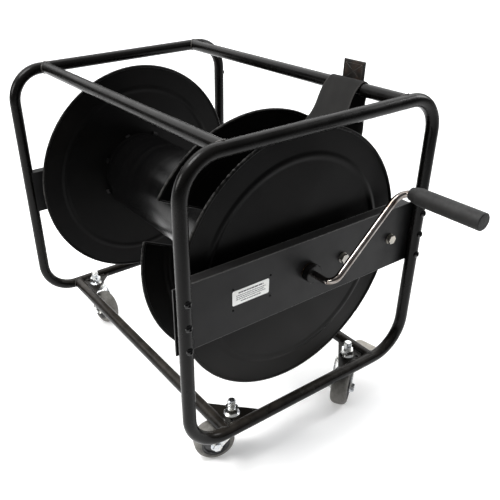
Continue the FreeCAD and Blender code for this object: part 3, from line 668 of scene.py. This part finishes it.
def make_rail_welds():
    """Bead round each rail where it meets the two hoops."""
    bead = weld_metal()
    for name in ("top_left", "top_right", "bottom_left", "bottom_right"):
        rail = middle(name + "_rail")
        bm = bmesh.new()
        for end, hoop_y in HOOP_Y.items():
            inwards = 1 if hoop_y < rail.y else -1
            path = []
            for i in range(WELD_STEPS):
                angle = 2 * math.pi * i / WELD_STEPS
                sideways = TUBE_R * math.cos(angle)
                reach = math.sqrt(sideways ** 2 + WELD_SADDLE ** 2)
                place = (rail.x + sideways, hoop_y + inwards * reach, rail.z + TUBE_R * math.sin(angle))
                path.append(Vector(place))
            radii = bead_radii(path, WELD_R, name + end)
            add_loft(bm, tube_rings(path, radii, 8, closed=True), closed=True)
        dress(as_object(name + "_welds", bm), bead, "frame")


def make_gusset_welds():
    """Two stitch welds along each edge of the gussets that meets a tube."""
    bead = weld_metal()
    for name in CASTORS:
        low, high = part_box("gusset_" + name)
        side_x = 1 if "right" in name else -1
        side_y = 1 if "rear" in name else -1
        corner = Vector((high.x if side_x > 0 else low.x, high.y if side_y > 0 else low.y, high.z))
        size = high - low
        bm = bmesh.new()
        for direction, length in ((Vector((-side_x, 0, 0)), size.x), (Vector((0, -side_y, 0)), size.y)):
            for start, end in ((0.06, 0.34), (0.52, 0.82)):
                ends = [corner + direction * (length * share) for share in (start, end)]
                path = resampled(ends, 0.7 * MM)
                radii = bead_radii(path, WELD_R, name + str(start) + str(length))
                add_loft(bm, tube_rings(path, radii, 8))
        dress(as_object("gusset_welds_" + name, bm), bead, "frame")


FOLD_R = 1.0 * MM
FOLD_PROUD = 0.25 * MM


def make_plate_folds():
    """Rounded corners of the front plate: along its folds and along the edge of its top flange. They are painted a
    lighter grey than the plate, as a painted highlight along these edges.
    """
    low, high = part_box("front_cross_plate")
    hoop_low, hoop_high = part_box("front_hoop")
    inset = FOLD_R - FOLD_PROUD
    left = hoop_low.x + 2 * TUBE_R + 3 * MM
    right = hoop_high.x - 2 * TUBE_R - 3 * MM
    bm = bmesh.new()
    top = high.z - inset
    bottom = low.z + inset
    for y, z in ((low.y + inset, top), (high.y - inset, top), (low.y + inset, bottom)):
        path = resampled([Vector((left, y, z)), Vector((right, y, z))], 20 * MM)
        add_loft(bm, tube_rings(path, [FOLD_R] * len(path), 10))
    # the folds are painted a lighter, glossier grey than the plate: a painted highlight along the edges
    highlight_and_wear = powder_coat("plate_fold_highlight_paint", *FOLD_HIGHLIGHT_GREY, 0.28, 0.03 * MM, 0.6)
    dress(as_object("front_plate_folds", bm), highlight_and_wear, "frame")


SLOT_ANGLE = math.radians(155.5)     # direction of the slot, from +X towards +Z
SLOT_DIRECTION = Vector((math.cos(SLOT_ANGLE), 0, math.sin(SLOT_ANGLE)))
SLOT_HALF = 41.0 * MM
SLOT_FOLD_R = 2.2 * MM


def make_slot_fold():
    """Rounded fold along the two long edges of the slot in the middle disc."""
    slot = SLOT_DIRECTION
    across = Vector((-slot.z, 0, slot.x))
    plane = Vector((AXIS.x, middle("middle_disc").y + 0.2 * MM, AXIS.z))
    bm = bmesh.new()
    for side in (-1, 1):
        near = math.sqrt(CORE_R ** 2 - SLOT_HALF ** 2) + 1 * MM
        far = math.sqrt((DISC_R - 3.5 * MM) ** 2 - SLOT_HALF ** 2)
        edge = plane + across * (side * SLOT_HALF)
        path = resampled([edge + slot * near, edge + slot * far], 6 * MM)
        add_loft(bm, tube_rings(path, [SLOT_FOLD_R] * len(path), 12))
    dress(as_object("slot_fold", bm), MATERIALS["disc_paint"], "drum")


STUD_R = 8.0 * MM
THREAD_PITCH = 2.0 * MM
THREAD_DEPTH = 0.42 * MM             # above the stem's own surface
THREAD_ROOT_IN = 0.25 * MM           # how far the ridge reaches into the stem
THREAD_ROOT_HALF = 0.72 * MM         # half the ridge's height at its foot and at its crest
THREAD_CREST_HALF = 0.12 * MM
THREAD_STEPS = 28                    # sections in one turn


def make_castor_threads():
    """Helical thread on the part of each stem that stands above its nut."""
    for name in CASTORS:
        low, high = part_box("castor_stem_" + name)
        centre = (low + high) / 2
        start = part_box("castor_nuts")[1].z - 1 * MM
        end = high.z - 1.6 * MM
        count = int((end - start) / THREAD_PITCH * THREAD_STEPS)
        fade_steps = THREAD_STEPS / 2
        rings = []
        for i in range(count + 1):
            angle = 2 * math.pi * i / THREAD_STEPS
            out = Vector((math.cos(angle), math.sin(angle), 0))
            z = start + (end - start) * i / count
            fade = min(1.0, i / fade_steps, (count - i) / fade_steps)
            root = Vector((centre.x, centre.y, z)) + out * (STUD_R - THREAD_ROOT_IN)
            crest = root + out * (THREAD_ROOT_IN + THREAD_DEPTH * fade)
            root_half = Vector((0, 0, THREAD_ROOT_HALF))
            crest_half = Vector((0, 0, THREAD_CREST_HALF))
            rings.append([root - root_half, crest - crest_half, crest + crest_half, root + root_half])
        bm = bmesh.new()
        add_loft(bm, rings)
        dress(as_object("castor_thread_" + name, bm), MATERIALS["zinc"], "frame")


TYRE_LIP_R = 29.4 * MM
TYRE_LIP_T = 1.5 * MM
TYRE_LIP_Y = 16.2 * MM               # from the wheel's middle plane
TYRE_LIP_STEPS = 72


def make_tyre_rings():
    """Dark rubber lip between hub and tyre, on both faces of each wheel."""
    lip = rubber("tyre_lip", (0.030, 0.030, 0.031), (0.055, 0.052, 0.048), 0.5, 0.7)
    for name in CASTORS:
        joint = JOINTS["roll_" + name]
        axis = Vector(joint["axis"]).normalized()
        centre = Vector(joint["pos_m"])
        spoke = Vector((0, 0, 1))
        other = axis.cross(spoke)
        bm = bmesh.new()
        for side in (-1, 1):
            path = []
            for i in range(TYRE_LIP_STEPS):
                angle = 2 * math.pi * i / TYRE_LIP_STEPS
                out = spoke * math.cos(angle) + other * math.sin(angle)
                path.append(centre + axis * (side * TYRE_LIP_Y) + out * TYRE_LIP_R)
            add_loft(bm, tube_rings(path, [TYRE_LIP_T] * TYRE_LIP_STEPS, 10, closed=True), closed=True)
        dress(as_object("tyre_lip_" + name, bm), lip, "wheel_" + name)


# height, thickness, left and right end as shares of the label, and the longest dash
LABEL_ROWS = (
    (0.80, 0.100, 0.16, 0.84, 9.0 * MM),
    (0.62, 0.055, 0.10, 0.90, 5.0 * MM),
    (0.49, 0.055, 0.10, 0.86, 5.0 * MM),
    (0.36, 0.055, 0.10, 0.90, 5.0 * MM),
    (0.20, 0.060, 0.22, 0.78, 7.0 * MM),
)


def make_label_print():
    """Generic printed marks: a heading bar of blocks and rows of short dashes."""
    low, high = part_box("label_plate")
    size = high - low
    draw = random.Random(4)
    bm = bmesh.new()
    for height, thick, start, end, longest in LABEL_ROWS:
        at = start
        while at < end:
            width = min(end - at, draw.uniform(0.4, 1.0) * longest / size.x)
            corner = Vector((low.x + size.x * at, low.y - 0.06 * MM, low.z + size.z * (height - thick / 2)))
            block = bmesh.ops.create_cube(bm, size=1.0)["verts"]
            half = Vector((size.x * width, 0.12 * MM, size.z * thick)) / 2
            for vert in block:
                vert.co = corner + half + Vector([2 * reach * side for reach, side in zip(half, vert.co)])
            at += width + 1.1 * MM / size.x
    dress(as_object("label_print", bm, smooth=False), label_ink(), "frame")


make_strap()
make_stitches(make_tab())
make_rail_welds()
make_gusset_welds()
make_plate_folds()
make_slot_fold()
make_castor_threads()
make_tyre_rings()
make_label_print()


# --- studio ------------------------------------------------------------------------------------------
def make_floor():
    bm = bmesh.new()
    bmesh.ops.create_grid(bm, x_segments=8, y_segments=8, size=20.0)
    floor = as_object("studio_floor", bm)
    floor.location.z = cad_low.z
    floor.data.materials.append(floor_paint())


def soft_light(name, place, aim, width, height, power, colour=(1.0, 1.0, 1.0)):
    """Rectangular soft box that points at a place."""
    data = bpy.data.lights.new(name, "AREA")
    data.shape = "RECTANGLE"
    data.size = width
    data.size_y = height
    data.energy = power
    data.color = colour
    lamp = bpy.data.objects.new(name, data)
    lamp.location = place
    lamp.rotation_euler = (Vector(aim) - Vector(place)).to_track_quat("-Z", "Y").to_euler()
    bpy.context.scene.collection.objects.link(lamp)


SKY_LOW = 0.10                       # brightness at the horizon
SKY_HIGH = 0.45                      # brightness overhead


def make_world():
    """Bright overhead and dim at the horizon, like a room with a large soft ceiling light."""
    world = bpy.data.worlds.new("studio")
    world.use_nodes = True
    background = world.node_tree.nodes["Background"]
    background.inputs["Color"].default_value = (0.96, 0.975, 1.0, 1.0)
    add = world.node_tree.nodes.new
    link = world.node_tree.links.new
    direction = add("ShaderNodeTexCoord")
    parts = add("ShaderNodeSeparateXYZ")
    ramp = add("ShaderNodeMapRange")
    ramp.interpolation_type = "SMOOTHSTEP"
    ramp.inputs["To Min"].default_value = SKY_LOW
    ramp.inputs["To Max"].default_value = SKY_HIGH
    link(direction.outputs["Generated"], parts.inputs[0])
    link(parts.outputs[2], ramp.inputs["Value"])
    link(ramp.outputs["Result"], background.inputs["Strength"])
    bpy.context.scene.world = world


CAMERA_PLACE = Vector((-0.7248, -0.9762, 0.9922))
CAMERA_HEADING = math.radians(33.37)     # from +Y towards +X
CAMERA_TILT = math.radians(-30.57)
CAMERA_ROLL = math.radians(-1.56)


def make_camera():
    data = bpy.data.cameras.new("camera")
    data.sensor_width = 36.0
    data.lens = 45.0
    data.shift_x = 0.0923
    data.shift_y = 0.0469
    data.clip_end = 100.0
    camera = bpy.data.objects.new("camera", data)
    place = Matrix.Translation(CAMERA_PLACE)
    turn = Matrix.Rotation(-CAMERA_HEADING, 4, "Z")
    pitch = Matrix.Rotation(math.radians(90) + CAMERA_TILT, 4, "X")
    roll = Matrix.Rotation(CAMERA_ROLL, 4, "Z")
    camera.matrix_world = place @ turn @ pitch @ roll
    bpy.context.scene.collection.objects.link(camera)
    bpy.context.scene.camera = camera


make_floor()
make_world()
make_camera()
AIM = (0.0, 0.0, 0.35)
soft_light("ceiling", (3.0, 4.8, 4.5), (3.0, 4.8, 0.0), 15.0, 10.0, 960.0)
soft_light("overhead", (-0.9, 0.1, 2.4), AIM, 0.9, 0.9, 42.0)
soft_light("left_box", (-2.3, 0.7, 1.5), AIM, 0.7, 0.9, 34.0, (1.0, 0.99, 0.97))
soft_light("right_box", (2.2, -0.6, 1.7), AIM, 0.6, 0.9, 22.0)
bpy.context.scene.view_settings.view_transform = "Standard"
